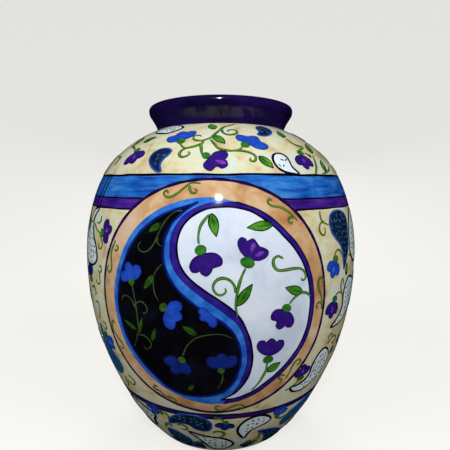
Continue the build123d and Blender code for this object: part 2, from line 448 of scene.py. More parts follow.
def edge_distance(points, outline):
    """Distance in mm from each point to a closed outline, negative outside it."""
    start, end = outline, np.roll(outline, -1, axis=0)
    side = end - start
    rel = points[:, None, :] - start[None]
    share = np.clip((rel * side).sum(-1) / np.maximum((side**2).sum(-1), 1e-12), 0, 1)
    distance = np.linalg.norm(rel - share[..., None] * side, axis=-1).min(axis=1)
    x, y = points[:, :1], points[:, 1:]
    crosses = (start[:, 1] > y) != (end[:, 1] > y)
    rise = np.where(side[:, 1] == 0, 1.0, side[:, 1])
    hits = crosses & (x < start[:, 0] + (y - start[:, 1]) * side[:, 0] / rise)
    return np.where(hits.sum(axis=1) % 2 == 1, distance, -distance)


def fill(paint, outline, sheet, lift, spacing=1.1):
    """A closed layer of paint inside a flat outline, its top rounding down to its edge."""
    ahead = np.roll(outline, -1, axis=0)
    runs_left = np.sum(outline[:, 0] * ahead[:, 1] - outline[:, 1] * ahead[:, 0]) > 0
    outline = outline if runs_left else outline[::-1]
    low, high = outline.min(axis=0), outline.max(axis=0)
    rows = np.arange(low[1] + spacing / 2, high[1], spacing * 0.866)
    grid = [
        (x, y) for i, y in enumerate(rows) for x in np.arange(low[0] + (i % 2) * spacing / 2, high[0],
                                                              spacing)
    ]
    grid = np.array(grid).reshape(-1, 2)
    if len(grid):
        grid = grid[edge_distance(grid, outline) > 0.45 * spacing]
    flat = [Vector(p) for p in np.vstack((outline, grid))]
    corners, _, triangles, *_ = delaunay_2d_cdt(flat, [], [list(range(len(outline)))], 1, 1e-5)
    corners = np.array([tuple(c) for c in corners])
    rims = np.maximum(edge_distance(corners, outline), 0.0)
    share = np.clip(rims / EDGE_WIDTH, 0, 1)
    degrees, climb = sheet.wrap(corners)
    top = on_pot(degrees, climb, lift - EDGE_DROP * (1 - share) ** 2)
    bottom = on_pot(degrees, climb, np.full(len(corners), -BURY))
    count = len(corners)
    faces = [tuple(t) for t in triangles]
    sides = {(t[i], t[(i + 1) % 3]) for t in faces for i in range(3)}
    walls = [(a + count, b + count, b, a) for a, b in sorted(sides) if (b, a) not in sides]
    faces += [tuple(corner + count for corner in reversed(t)) for t in faces] + walls
    paint.add(np.concatenate((top, bottom)), faces, np.concatenate((rims, rims)))


def area(paint, place, pieces, lift, spacing):
    """Fills an outline of smooth curves that run end to end. One curve closes smoothly on itself, or with
    a corner if its last point is its first."""
    laid = [place(piece) for piece in pieces]
    sheet = Sheet(np.vstack(laid))
    flat = [sheet.flatten(piece) for piece in laid]
    if len(flat) == 1 and pieces[0][0] != pieces[0][-1]:
        outline = smooth(flat[0], True)
    else:
        outline = np.vstack([smooth(piece)[:-1] for piece in flat])
    fill(paint, outline, sheet, lift, spacing)


def stroke(paint, place, points, width, lift, ends=(0.8, 0.6), closed=False):
    """A brushed line through points, as wide at each end as those shares of its width."""
    laid = place(points)
    sheet = Sheet(laid)
    path = smooth(sheet.flatten(laid), closed)
    count = len(path)
    if closed:
        ahead = np.roll(path, -1, axis=0) - np.roll(path, 1, axis=0)
    else:
        ahead = np.gradient(path, axis=0)
    ahead /= np.linalg.norm(ahead, axis=1)[:, None]
    left = np.column_stack((-ahead[:, 1], ahead[:, 0]))
    share = np.linspace(0, 1, count)
    length = 0.8 * count
    body = ends[0] + (1 - ends[0]) * np.clip(share / 0.3, 0, 1)
    body = np.minimum(body, ends[1] + (1 - ends[1]) * np.clip((1 - share) / 0.5, 0, 1))
    tip = np.sqrt(np.clip(np.minimum(share, 1 - share) * length / (0.5 * width) + 0.15, 0, 1))
    half = width / 2 * (np.ones(count) if closed else body * tip)
    half = half * (1 + 0.1 * np.sin(share * length / 3.1 + points[0][0]))
    across = np.array((1.0, 0.88, 0.0, -0.88, -1.0))
    rise = np.array((-BURY, lift - EDGE_DROP, lift, lift - EDGE_DROP, -BURY))
    flat = path[:, None, :] + left[:, None, :] * (half[:, None] * across)[..., None]
    degrees, climb = sheet.wrap(flat.reshape(-1, 2))
    faces = []
    for i in range(count if closed else count - 1):
        a, b = 5 * i, 5 * ((i + 1) % count)
        faces += [(a + j, a + (j + 1) % 5, b + (j + 1) % 5, b + j) for j in range(5)]
    if not closed:
        faces += [(4, 3, 2, 1, 0), tuple(5 * (count - 1) + j for j in range(5))]
    rims = np.tile(np.array((0.0, 0.3, 1.0, 0.3, 0.0)) * width / 2, count)
    paint.add(on_pot(degrees, climb, np.tile(rise, count)), faces, rims)


def blade(paint, place, base, tip, width, lift, skew=0.8, blunt=0.9, trim=0.0):
    """A leaf, petal or bud from base to tip. Skew moves its widest part, blunt under 1 rounds its ends,
    and trim takes that many mm off all round."""
    ends = place([base, tip])
    sheet = Sheet(ends)
    start, end = sheet.flatten(ends)
    axis = end - start
    length = np.linalg.norm(axis)
    axis = axis / length
    left = np.array((-axis[1], axis[0]))
    count = max(9, round(length / 0.9))
    share = np.linspace(0, 1, count + 1)[:, None]
    margin = trim / length
    middle = start + axis * length * (margin * 1.6 + (1 - 3.2 * margin) * share)
    half = np.maximum(width / 2 - trim, 0.15) * np.sin(math.pi * share**skew) ** blunt
    outline = np.vstack(((middle - left * half)[:-1], (middle + left * half)[:0:-1]))
    fill(paint, outline, sheet, lift, spacing=0.9)


# ---- motifs ----
DAB_SPACING = 5.4
DAB_MARGIN = 1.6
scatter = np.random.default_rng(7)


class Brushes:
    """The place where one area's motifs are drawn, and the paints that they are drawn with."""

    def __init__(self, area_name, place, dim=False):
        self.area_name, self.place = area_name, place
        self.stem = self.paint("stems", STEM_DIM if dim else STEM_DARK, "black_glaze")
        self.stem_light = None if dim else self.paint("stem_lights", STEM_LIGHT, "cream_glaze")
        self.leaf_edge = self.paint("leaf_edges", LEAF_EDGE, "black_glaze")
        self.leaf = self.paint("leaves", LEAF_DIM if dim else LEAF, "cream_glaze")
        self.bud = self.paint("buds", BUD_DIM if dim else BUD, "cream_glaze")
        self.petals = {
            "purple": self.petal_paints("purple", FLOWER_PURPLE, FLOWER_GLOW, "purple_glaze"),
            "blue": self.petal_paints("blue", FLOWER_BLUE, BLUE_GLOW, "blue_glaze"),
            "deep": self.petal_paints("deep", FLOWER_DEEP, FLOWER_BLUE, "blue_glaze"),
            "navy": self.petal_paints("navy", FLOWER_NAVY, FLOWER_BLUE, "blue_glaze"),
        }
        self.ink = self.paint("ink_rims", INK, "black_glaze")
        green = self.paint("green_dabs", FLECK, "blue_glaze")
        blue_rim = self.paint("blue_rims", NAVY_RIM, "blue_glaze")
        # each kind's body, its outline and its dabs in turn
        self.paisleys = {
            "navy": (self.paint("navy_paisleys", NAVY, "black_glaze"), blue_rim, (green,)),
            "pale": (self.paint("pale_paisleys", PALE, "white_glaze"), self.ink, (green, green, self.ink)),
            "teal": (self.paint("teal_paisleys", TEAL, "blue_glaze"), blue_rim, (blue_rim,)),
        }

    def paint(self, kind, material, slot):
        return Paint(f"{self.area_name}_{kind}", material, slot)

    def petal_paints(self, kind, petal, touch, slot):
        return self.paint(f"{kind}_petals", petal, slot), self.paint(f"{kind}_touches", touch, slot)


def stems(brushes, routes, width=2.8):
    """Vines: a dark line, with a lighter green one along its middle."""
    for route in routes:
        stroke(brushes.stem, brushes.place, route, width, STEM_LIFT)
        if brushes.stem_light:
            stroke(brushes.stem_light, brushes.place, route, 0.45 * width, STEM_LIFT + TOUCH)


def leaves(brushes, ends, width=8.5):
    """Pointed leaves from base to tip, each with a dark outline and a short midrib."""
    for base, tip in ends:
        blade(brushes.leaf_edge, brushes.place, base, tip, width, LEAF_LIFT)
        blade(brushes.leaf, brushes.place, base, tip, width, LEAF_LIFT + TOUCH, trim=0.9)
        base, tip = np.array(base, float), np.array(tip, float)
        rib = [tuple(base + share * (tip - base)) for share in (0.12, 0.4, 0.66)]
        stroke(brushes.leaf_edge, brushes.place, rib, 0.7, LEAF_LIFT + 2 * TOUCH, ends=(1.0, 0.3))


def bell(paint, place, base, tips, width, lift):
    """A flower's petals as one shape: a rounded back at its base and a lobe at each tip."""
    laid = place([base, *tips])
    sheet = Sheet(laid)
    root, *ends = sheet.flatten(laid)
    gaps = [np.linalg.norm(b - a) for a, b in zip(ends, ends[1:])]
    lobe = min(0.42 * width, 0.44 * min(gaps))
    first, last = ends[0] - root, ends[-1] - root
    turn = 1 if first[0] * last[1] - first[1] * last[0] > 0 else -1
    lobes = []
    for end in ends:
        ahead = (end - root) / np.linalg.norm(end - root)
        onward = turn * np.array((-ahead[1], ahead[0]))
        back = end - 0.55 * lobe * ahead
        lobes.append([back - 0.85 * lobe * onward, end, back + 0.85 * lobe * onward])
    sides = [points[0] - points[2] for points in (lobes[0], lobes[-1])]
    first_shoulder = root + 0.45 * first + 0.6 * sides[0]
    last_shoulder = root + 0.45 * last - 0.6 * sides[1]
    outline = [root, first_shoulder, *lobes[0]]
    for before, after in zip(lobes, lobes[1:]):
        middle = (before[2] + after[0]) / 2
        outline += [middle + (root - middle) * 0.25 * lobe / np.linalg.norm(root - middle), *after]
    outline = smooth(np.array(outline + [last_shoulder]), True, 0.7)
    fill(paint, outline, sheet, lift, spacing=1.0)


def flower(brushes, kind, base, tips, bud, width, bud_size=(8, 7), touches=()):
    """A flower: petals from one base out to the given tips, touches of a lighter colour towards the given
    points, and a green bud if its place is given."""
    place = brushes.place
    petals, glow = brushes.petals[kind]
    bell(petals, place, base, tips, width, PETAL_LIFT)
    base = np.array(base, float)
    for touch in touches:
        near = base + 0.4 * (np.array(touch, float) - base)
        blade(glow, place, near, touch, 0.3 * width, PETAL_LIFT + 2 * TOUCH, skew=1.2, blunt=0.7)
    if bud is not None:
        bud, middle = np.array(bud, float), np.mean(np.array(tips, float), axis=0)
        laid = place([bud, middle])
        reach = np.linalg.norm(np.subtract(*Sheet(laid).flatten(laid)))
        step = (bud - middle) * bud_size[1] / (2 * reach)
        blade(brushes.bud, place, bud + step, bud - step, bud_size[0], PETAL_LIFT + 3 * TOUCH, skew=1.0,
              blunt=0.5)


def paisley(brushes, kind, outline, width=1.8):
    """A fat comma of colour with a brushed outline and small dabs scattered inside it."""
    place = brushes.place
    body, rim, dabs = brushes.paisleys[kind]
    area(body, place, [outline], LEAF_LIFT, spacing=1.6)
    stroke(rim, place, outline, width, LEAF_LIFT + TOUCH, closed=True)
    laid = place(outline)
    sheet = Sheet(laid)
    flat = smooth(sheet.flatten(laid), True)
    low, high = flat.min(axis=0), flat.max(axis=0)
    columns, rows = (np.arange(low[axis] + 3, high[axis], DAB_SPACING) for axis in (0, 1))
    spots = np.array([(x, y) for y in rows for x in columns]).reshape(-1, 2)
    spots = spots + scatter.uniform(-1.3, 1.3, spots.shape)
    spots = spots[edge_distance(spots, flat) > 0.5 * width + DAB_MARGIN]
    turns = np.linspace(0, 2 * math.pi, 9)[:-1]
    for i, spot in enumerate(spots):
        lean = scatter.uniform(0, math.pi)
        long, short = scatter.uniform(1.5, 2.3), scatter.uniform(0.6, 1.0)
        across, ahead = short * np.sin(turns), long * np.cos(turns)
        dab = np.column_stack((
            ahead * math.cos(lean) - across * math.sin(lean),
            ahead * math.sin(lean) + across * math.cos(lean)
        ))
        fill(dabs[i % len(dabs)], spot + dab, sheet, LEAF_LIFT + 2 * TOUCH)


# ---- the plain coats, bands and lines ----
coat("lower_ground", CREAM, "cream_glaze", FOOT_CLIMB, GROUND_CLIMB, "lower_ground")
coat("side_ground", CREAM, "cream_glaze", GROUND_CLIMB, PURPLE_LOW, "side_ground")
coat("purple_band", PURPLE, "purple_glaze", PURPLE_LOW, BLUE_LOW, "purple_band")
coat("blue_band", BLUE, "blue_glaze", BLUE_LOW, BLUE_HIGH, "blue_band")
coat("shoulder_ground", CREAM, "cream_glaze", BLUE_HIGH, NECK_CLIMB, "shoulder_ground")

band_lines = Paint("band_lines", INK, "black_glaze", both_sides=False)
hoop(band_lines, BLUE_HIGH, 2.2, BAND_LIFT, 1.3)
hoop(band_lines, BLUE_LOW, 1.4, BAND_LIFT, 2.1)
hoop(band_lines, PURPLE_LOW, 1.5, BAND_LIFT, 3.7)
hoop(band_lines, GROUND_CLIMB - 0.6, 2.0, BAND_LIFT, 4.9)
hoop(band_lines, GROUND_CLIMB - 6.4, 2.0, BAND_LIFT, 5.6)
low_band = Paint("low_band", BAND_PLUM, "purple_glaze", both_sides=False)
hoop(low_band, GROUND_CLIMB - 3.5, 6.0, 0.6 * BAND_LIFT, 0.8)

# ---- the medallion ----
on_disc = Place(flat=True)
FIELD_SPACING = 2.4  # between the points that fill the disc's broad areas
# how far the hand-painted disc and ring reach from the centre, in mm, in each direction in degrees
DISC_REACH = [(0, 93), (20, 92), (45, 88.7), (60, 89.8), (78, 90.3), (90, 92), (135, 92.7), (160, 91.8),
              (180, 94),
              (205, 92.8), (225, 91.2), (245, 92.5), (270, 95.4), (290, 93), (305, 89.8), (320, 90),
              (340, 93.1)]
RING_REACH = [(0, 108), (45, 108.3), (90, 109), (135, 109), (180, 110.5), (205, 109.5), (225, 107.5),
              (250, 107),
              (270, 107.5), (300, 106), (318, 105.5), (340, 107.5)]
# the S curve's edges from its top to its foot
DARK_EDGE = [(-10, 88), (-24, 78), (-33.5, 67), (-39, 48), (-36, 32), (-26, 16), (-5.5, 0), (10, -10),
             (20, -22),
             (24.5, -40), (21, -62), (12, -77), (-3, -84.5), (-22, -86), (-37, -81.5)]
BORDER_LINE = [(20, 88), (10, 88), (0, 87.5), (-10.8, 83.9), (-20, 78.5), (-27, 70.8), (-32, 60.8),
               (-33.5, 48),
               (-32, 38), (-25.5, 27), (-8, 12), (11, -2), (23.5, -15), (29.8, -40), (27, -60), (18, -80),
               (9, -94)]
LIGHT_EDGE = [(30, 81), (18, 83.6), (6, 83.8), (-5, 81.6), (-15, 76), (-23, 67), (-27, 54), (-26, 42),
              (-20, 30),
              (-6, 18), (8, 8.5), (22, -3.5), (31, -22), (34.5, -42), (31.5, -62), (21, -79.5), (7, -89.5)]


def arc(reach, start, end, inset=0.0):
    """Points about every 10 degrees along a painted rim, that far inside it."""
    degrees = np.linspace(start, end, round(abs(end - start) / 10) + 1)
    radii = np.interp(degrees, *zip(*reach), period=360) - inset
    turns = np.radians(degrees)
    return list(zip(radii * np.cos(turns), radii * np.sin(turns)))


def ring():
    """The peach ring; the two halves of the disc cover its inner edge."""
    paint = Paint("medallion_ring", PEACH, "peach_glaze", "front_ring", "back_ring")
    columns, rows, tuck, line = 280, 10, 3, 3
    degrees = -np.arange(columns) * 360 / columns
    inner = np.interp(degrees, *zip(*DISC_REACH), period=360) - tuck
    outer = np.interp(degrees, *zip(*RING_REACH), period=360)
    reach = inner + np.linspace(0, 1, rows)[:, None] * (outer - inner)
    turn = np.radians(degrees)
    points = np.stack((reach * np.cos(turn), reach * np.sin(turn)), axis=-1).reshape(-1, 2)
    laid = on_disc(points).reshape(rows, columns, 2)
    edge = np.clip(outer - line - reach, 0, None)
    shell(paint, laid[..., 0], laid[..., 1], np.full(edge.shape, RING_LIFT), BURY, edge)
    lines = Paint("medallion_lines", PLUM, "purple_glaze")
    stroke(lines, on_disc, arc(RING_REACH, 0, 350, 1.4), line, LINE_LIFT, closed=True)
    stroke(lines, on_disc, arc(DISC_REACH, -84, 77), 1.5, LINE_LIFT, ends=(1, 1))


def fields():
    """The two halves of the disc, each a border and a field that meet in an S."""
    azure = Paint("medallion_blue_border", AZURE, "blue_glaze", "front_blue_border", "back_blue_border")
    area(azure, on_disc, [BORDER_LINE, arc(DISC_REACH, 275.5, 77.2)], BORDER_LIFT, spacing=FIELD_SPACING)
    violet = Paint("medallion_purple_border", VIOLET, "purple_glaze", "front_purple_border",
                   "back_purple_border")
    area(violet, on_disc, [BORDER_LINE, arc(DISC_REACH, -84.5, 77.2)], BORDER_LIFT, spacing=FIELD_SPACING)
    dark = Paint("medallion_dark_field", BLACK, "black_glaze", "front_dark_field", "back_dark_field")
    dark_outline = DARK_EDGE + arc(DISC_REACH, 232, 104, 5.6) + DARK_EDGE[:1]
    area(dark, on_disc, [dark_outline], FIELD_LIFT, spacing=FIELD_SPACING)
    light = Paint("medallion_light_field", WHITE, "white_glaze", "front_light_field", "back_light_field")
    light_outline = LIGHT_EDGE[-1:] + arc(DISC_REACH, -76, 62, 4.2) + LIGHT_EDGE
    area(light, on_disc, [light_outline], FIELD_LIFT, spacing=FIELD_SPACING)
    navy = Paint("medallion_navy_lines", NAVY_LINE, "blue_glaze")
    stroke(navy, on_disc, dark_outline, 2.2, LINE_LIFT, ends=(1, 1))
    black = Paint("medallion_black_lines", INK, "black_glaze")
    stroke(black, on_disc, light_outline, 1.9, LINE_LIFT, ends=(1, 1))


def light_field_motifs():
    brushes = Brushes("light_field", on_disc)
    stems(brushes, [
        [(-1, 78), (-5, 73), (-8, 68), (-9.5, 60), (-9, 54)],
        [(28, 35), (24.5, 27), (22, 18), (20.5, 8), (20.5, 2), (22, -5)],
        [(20, 15), (19.5, 20), (15.5, 25.5), (9.5, 27.3), (4, 24.5), (2.3, 19), (5, 14.5), (9, 13.5),
         (12.3, 16), (11.8, 19.5)],
        [(88.5, 6.5), (84, 9.5), (79, 10.5), (73, 8), (68.5, 4.5), (66.5, 2)],
        [(47.5, -51), (47, -58), (43.5, -66), (39, -73.5), (34, -79.5)],
    ])
    scroll = [(60, 41), (55.5, 43.2), (51.5, 41), (51.5, 36), (55, 32), (62, 31.5), (70, 32), (77, 31.2),
              (81.5, 27.5)]
    stems(brushes, [scroll + [(82.5, 23), (79.5, 21), (77.5, 23.5)]], width=3.0)
    leaves(brushes, [
        ((0.5, 79), (5, 59.5)), ((51, 69), (28.5, 67)), ((21, 4), (34, 22.5)), ((80, 10.5), (62, 17)),
        ((47.5, -60), (60.5, -52)),
    ])
    flower(brushes, "purple", (-5, 47), [(-14.5, 31.5), (-3, 28.5), (9.5, 38)], (-7.5, 49.5), 12,
           (9.5, 8.5))
    flower(brushes, "purple", (30.5, 42), [(24, 59.5), (34, 58.5), (47, 48)], (29.5, 39.5), 12, (12, 9),
           [(35, 55), (43, 47.5)])
    flower(brushes, "purple", (62, -2), [(50, -9.5), (57.5, -19.5), (69, -19)], (64, -1), 12, (9, 7.5))
    flower(brushes, "purple", (49.5, -43.5), [(40, -28), (51, -26.5), (62, -30)], (48.5, -47), 13, (9.5, 8))


def dark_field_motifs():
    brushes = Brushes("dark_field", on_disc, dim=True)
    stems(brushes, [
        [(-70, 17), (-67, 0), (-66, -24), (-72, -42)],
        [(-68, -3), (-72, 4), (-78, 6), (-83, 3), (-83, 0)],
        [(-68, -2), (-65, 2), (-60, 3), (-56, 0), (-55, -4), (-58, -7), (-60, -7)],
        [(-65, -28), (-60, -28), (-55, -31), (-53, -36), (-58, -41), (-62, -39)],
        [(-23, 81), (-30, 79), (-38, 71), (-43, 62), (-48, 52), (-54, 46.5), (-60, 46), (-63, 50),
         (-60, 54)],
        [(-44, 59), (-44, 54), (-40, 51)],
        [(-40, 37), (-46, 30), (-48, 22), (-47, 12), (-43, 5)],
        [(-24, -42), (-20, -32), (-12, -24), (0, -20.5), (10, -20.5), (18, -24)],
        [(9, -58), (9, -65), (5, -75)],
    ], width=1.4)
    leaves(brushes, [((-41, 70), (-53, 62)), ((-47, 28), (-58, 14)), ((-11, -21.5), (-24, -13.5))],
           width=6.5)
    leaves(brushes, [
        ((-67, -24), (-82.5, -17)), ((-66, -28), (-60, -10)), ((-52, -32), (-47.5, -18)),
        ((-21, -80), (-15.5, -71)),
    ], width=5.0)
    flower(brushes, "blue", (-73, 19.5), [(-83, 26), (-73.5, 36), (-61, 33.5)], (-70.5, 19), 12, (6.5, 6))
    flower(brushes, "blue", (-38, -2), [(-23, 5), (-23, -7), (-32, -18)], (-39.5, 1), 12, (8, 7))
    flower(brushes, "blue", (-1, -1), [(-10, 0), (-8, -8), (3, -14)], None, 10)
    flower(brushes, "deep", (-27, -46), [(-41.5, -51), (-33, -62), (-20, -61)], (-25, -46), 13, (7, 6))
    flower(brushes, "deep", (8, -53), [(-3, -42), (9, -37.5), (21, -41)], (8, -55), 13, (6, 6))


def ring_scrolls():
    brushes = Brushes("ring", on_disc)
    stems(brushes, [
        [(-36, 95), (-37.5, 97.5), (-40, 95.5), (-38, 92), (-34, 91.8), (-28, 95), (-22, 100), (-17, 104),
         (-8.5, 103.8)],
        [(-18, 102), (-17, 97), (-14, 95), (-11.5, 97.5), (-14, 99)],
        [(50.5, 88.5), (48, 90), (46.5, 87.5), (49.5, 84.5), (56, 83.3), (63, 80.5), (69, 76), (74, 71)],
        [(71, 73.5), (67, 74.5), (65, 71.5), (67.5, 69), (69.5, 71)],
        [(103.5, 15), (104, 18.5), (100.5, 20.5), (97.5, 17), (99, 10), (102.5, 3), (104, -9.5)],
        [(104, -5), (101, -2), (97.5, -3), (97, -6.5), (99, -6)],
        [(78, -60), (82.5, -58.5), (81, -54.5), (76.5, -55.5), (73, -61), (70, -68), (67, -73)],
        [(66, -69), (62, -67), (60, -71), (63, -72), (61, -77)],
        [(6, -98), (3, -97.5), (2, -101), (5, -103.5), (8, -103.5), (15, -100), (21, -97), (26, -97.5),
         (27, -101), (24, -101.5)],
        [(-51, -82), (-55, -82), (-55.5, -86), (-50, -87), (-45, -92), (-37, -93), (-33.5, -96),
         (-37, -98.5)],
        [(-96, -24), (-100, -23), (-101.5, -27), (-101, -32), (-95, -38), (-89.5, -43), (-88, -48),
         (-91.5, -49.5), (-93, -46.5)],
        [(-90, 52.5), (-93, 48), (-96, 42), (-96, 27), (-99.5, 23.5), (-103, 26), (-101, 29.5)],
        [(-91.5, 44), (-88, 44), (-86.5, 47), (-89, 48.5)],
    ], width=2.3)


# ---- the rest of the pot; degrees here are counted from a little right of the medallion's centre ----
around = Place(turn=3.3)


def shoulder_motifs():
    brushes = Brushes("shoulder", around)
    stems(brushes, [
        [(10, 188), (6, 183), (2, 178), (0, 172), (-3, 163), (-5, 156), (-8, 152), (-10, 151), (-13, 153),
         (-14, 157),
         (-13, 160), (-11, 160), (-10, 158)],
        [(0, 176), (0.5, 170), (1.5, 164), (4, 161), (7, 162), (9, 166), (8.5, 170), (6, 171), (4, 169),
         (4, 167)],
        [(-8, 150), (-10, 145), (-13, 142), (-16, 141), (-18, 144), (-19.5, 148)],
        [(-15, 141), (-17, 138), (-17.5, 133), (-16, 130), (-14, 131), (-13, 134), (-14, 136)],
        [(-8, 150), (-9, 145), (-8.5, 140), (-8, 135), (-7, 130)],
        [(-5, 153), (-3, 146), (-1, 140), (2, 137.5), (5, 137), (8, 139), (9.5, 142)],
        [(5, 137), (9, 137), (12, 135), (14, 131.5), (14, 128), (13, 125), (11.5, 126), (12, 129)],
        [(40, 141), (45, 146), (40, 150), (38, 158)],
        [(-47, 143), (-52, 148), (-57, 151)],
        [(-60, 135), (-56, 133), (-57, 124)],
        [(41, 112.5), (44, 120), (46, 127), (48, 135)],
        [(43, 138), (45, 133), (46, 137)],
        [(46, 112.5), (50, 115), (55, 118), (58, 122)],
    ])
    leaves(brushes, [
        ((-4, 172), (-7.5, 187)), ((-4, 160), (2, 146)), ((15.5, 131), (20.5, 118)),
        ((-46, 154), (-39, 162)), ((-54, 165), (-54, 150)), ((37, 160), (40, 175)), ((49, 138), (54, 154)),
        ((50, 116), (53, 130)),
    ])
    for crossing in ([(-57.5, 79), (-56, 95), (-54, 112)], [(-54, 79), (-52.7, 95), (-51, 112)]):
        stroke(brushes.ink, around, crossing, 1.7, STEM_LIFT, ends=(1, 1))
    flower(brushes, "purple", (-5, 128), [(3, 133), (2.5, 120), (-3.5, 115)], (-6, 131), 13, (7, 8),
           [(2, 122)])
    flower(brushes, "blue", (12, 147), [(9, 161), (19, 158), (22, 143)], (11, 145), 12.5, (8, 8))
    flower(brushes, "blue", (-20, 152), [(-29, 158), (-23, 169), (-15, 169)], (-19.5, 151), 13, (8, 8))
    flower(brushes, "purple", (38.5, 134), [(33, 123), (37, 117.5), (42, 121)], (39, 137), 11, (8, 7),
           [(37, 124)])
    flower(brushes, "purple", (-43.5, 138), [(-36, 133), (-40, 124), (-46, 123)], (-44, 141), 11, (8, 7),
           [(-41, 129)])
    paisley(brushes, "navy", [
        (-24.5, 141), (-22, 138), (-22.2, 133.5), (-24, 128), (-24.6, 122), (-23.2, 115), (-24.5, 114.5),
        (-27, 117.5), (-29.5, 122.5), (-31, 128.5), (-30.8, 135), (-28.5, 140),
    ])
    paisley(brushes, "navy", [
        (24.2, 179.5), (27, 183), (30.8, 184), (33.5, 178.5), (32, 170), (28, 163.5), (23.5, 160.5),
        (20.5, 162.5), (23, 169), (23.2, 175),
    ])
    paisley(brushes, "pale", [
        (22.2, 132), (24.2, 134.5), (26.8, 134), (28.6, 130.5), (28.9, 125.5), (29.2, 119.5), (31.4, 112.5),
        (28.2, 113), (25, 114.5), (22.5, 118.5), (21.4, 125),
    ], 2.3)
    paisley(brushes, "pale", [
        (-26.2, 179), (-28.2, 172), (-33, 167.5), (-39, 169), (-47, 173), (-47, 181), (-42, 188.5),
        (-32, 187),
    ], 2.3)


def left_side_motifs():
    brushes = Brushes("left_side", around)
    stems(brushes, [
        [(-55, 64), (-53, 60), (-50, 57), (-48, 57)],
        [(-50, 72), (-49.5, 68), (-51, 65), (-53, 66)],
        [(-49, 55), (-47, 50), (-46.5, 45), (-48, 42), (-49.5, 44), (-49, 46)],
        [(-48.5, 25), (-47.3, 26.5), (-46.8, 23), (-48, 20), (-49.3, 21.5)],
        [(-48.5, 20), (-48.5, 15), (-48.5, 10), (-50, 8), (-51.5, 10), (-51, 12)],
        [(-58, 0), (-56, 3), (-54, 1), (-53.5, -3), (-55, -6)],
        [(-55, -13), (-53, -11), (-52, -14), (-52, -20), (-54, -30)],
        [(-51, -30), (-49, -31), (-48.5, -35), (-50.5, -38), (-51.5, -35)],
        [(-42, -83), (-40, -84), (-39, -89), (-41, -94), (-44.5, -92)],
        [(-46, -88), (-46, -98), (-48, -103)],
    ], width=1.8)
    flower(brushes, "purple", (-46, 57), [(-44, 70), (-41, 63), (-43, 49)], (-47, 57), 11, (8, 7),
           [(-43, 61)])
    flower(brushes, "navy", (-58, 12), [(-63, 18), (-60, 25), (-56, 23)], (-58, 9), 9, (8, 7))
    flower(brushes, "blue", (-50.5, -46), [(-49, -59), (-45.5, -55), (-45, -47)], (-51, -44), 9.5, (8, 7),
           [(-47, -52)])
    leaves(brushes, [((-62, 55), (-66, 74)), ((-63, -18), (-65, -2)), ((-60, -62), (-64, -48))])
    pale = [(-53.5, 79), (-55.5, 73), (-57, 68), (-56, 60), (-54.5, 52), (-52, 45), (-50.5, 38),
            (-50.5, 31), (-53, 26)]
    paisley(brushes, "pale", pale + [(-58, 24), (-63, 29), (-65, 38), (-63.5, 48), (-61.5, 58),
            (-60, 70), (-57, 78)], 2.3)
    teal = [(-50, -58), (-46, -66), (-44.5, -74), (-46, -82), (-50, -87), (-54, -84), (-56, -74),
            (-56, -60), (-55.5, -45)]
    paisley(brushes, "teal", teal + [(-54.5, -35), (-53, -48)])


def right_side_motifs():
    brushes = Brushes("right_side", around)
    stems(brushes, [
        [(37, 78), (37, 71), (39, 67), (41, 65.5)],
        [(39, 67.5), (37, 68), (35.5, 64), (36, 58.5), (37.5, 57), (38.5, 60), (38, 63.5)],
        [(43, 37), (44, 40.5), (46, 41.5), (48, 38), (49, 33), (49.5, 28)],
        [(55, 32), (56, 33.5), (58, 30)],
        [(50, -2), (48.7, 4), (48.5, 9), (49.5, 13), (50.5, 10), (50.3, 6)],
        [(44.5, -2), (46, 0.5), (48, 0.5), (50.5, -3), (51.5, -9), (52, -18), (50, -24)],
        [(45, -50), (47, -48), (48, -45), (47.5, -41.5), (46, -40.5), (44.5, -43), (45.5, -45.5)],
        [(47.5, -46), (50, -45.5), (52, -48), (52, -53), (50.5, -55), (49.5, -51)],
        [(32.3, -81.5), (29.5, -87), (26.5, -89)],
    ], width=1.8)
    paisley(brushes, "navy", [
        (43, 74), (46.2, 77), (51.2, 76.5), (55, 72), (56, 65), (55.4, 58), (55, 50), (54.6, 42), (53, 33),
        (51.3, 26), (50.2, 22), (49.6, 30), (49.3, 37), (47.8, 44.5), (44.8, 51.5), (42.3, 58), (41.5, 66),
    ])
    flower(brushes, "blue", (43, 32), [(38.5, 25.5), (41.5, 17), (45.5, 18.5)], (43.5, 34), 11, (8, 7),
           [(41.5, 22)])
    flower(brushes, "purple", (44, -6), [(39.5, -16), (43, -22.5), (47, -19.5)], (44.5, -4), 11, (8, 7),
           [(43, -17)])
    flower(brushes, "purple", (33, -76.5), [(29.5, -68), (33, -62.5), (36.5, -67)], (33, -78.5), 11, (8, 6),
           [(33, -68)])
    paisley(brushes, "pale", [
        (66, 77), (62, 72), (59, 65), (57, 55), (56.5, 45), (57, 36), (59, 30), (61, 26), (66, 24),
        (70, 34), (71, 52), (69, 68),
    ], 2.3)
    paisley(brushes, "pale", [
        (55, 11), (58, 11), (62, 7), (66, 0), (65, -10), (61, -20), (57, -27), (53, -31.5), (48, -33),
        (44.5, -32), (47, -28), (50.5, -22), (52, -15), (51.5, -5), (52, 2), (53, 6),
    ], 2.3)
    paisley(brushes, "pale", [
        (43, -53.5), (46, -56), (48.5, -63), (50, -70), (49, -78), (46, -86), (43, -92), (38, -96),
        (34, -96), (30, -92), (29, -87), (32, -87), (36, -84), (38, -78), (38, -70), (40, -58),
    ], 2.3)
    leaves(brushes, [((53, 14), (53, 27)), ((52, -68), (52, -58)), ((57, -61), (57, -47))], 7.5)


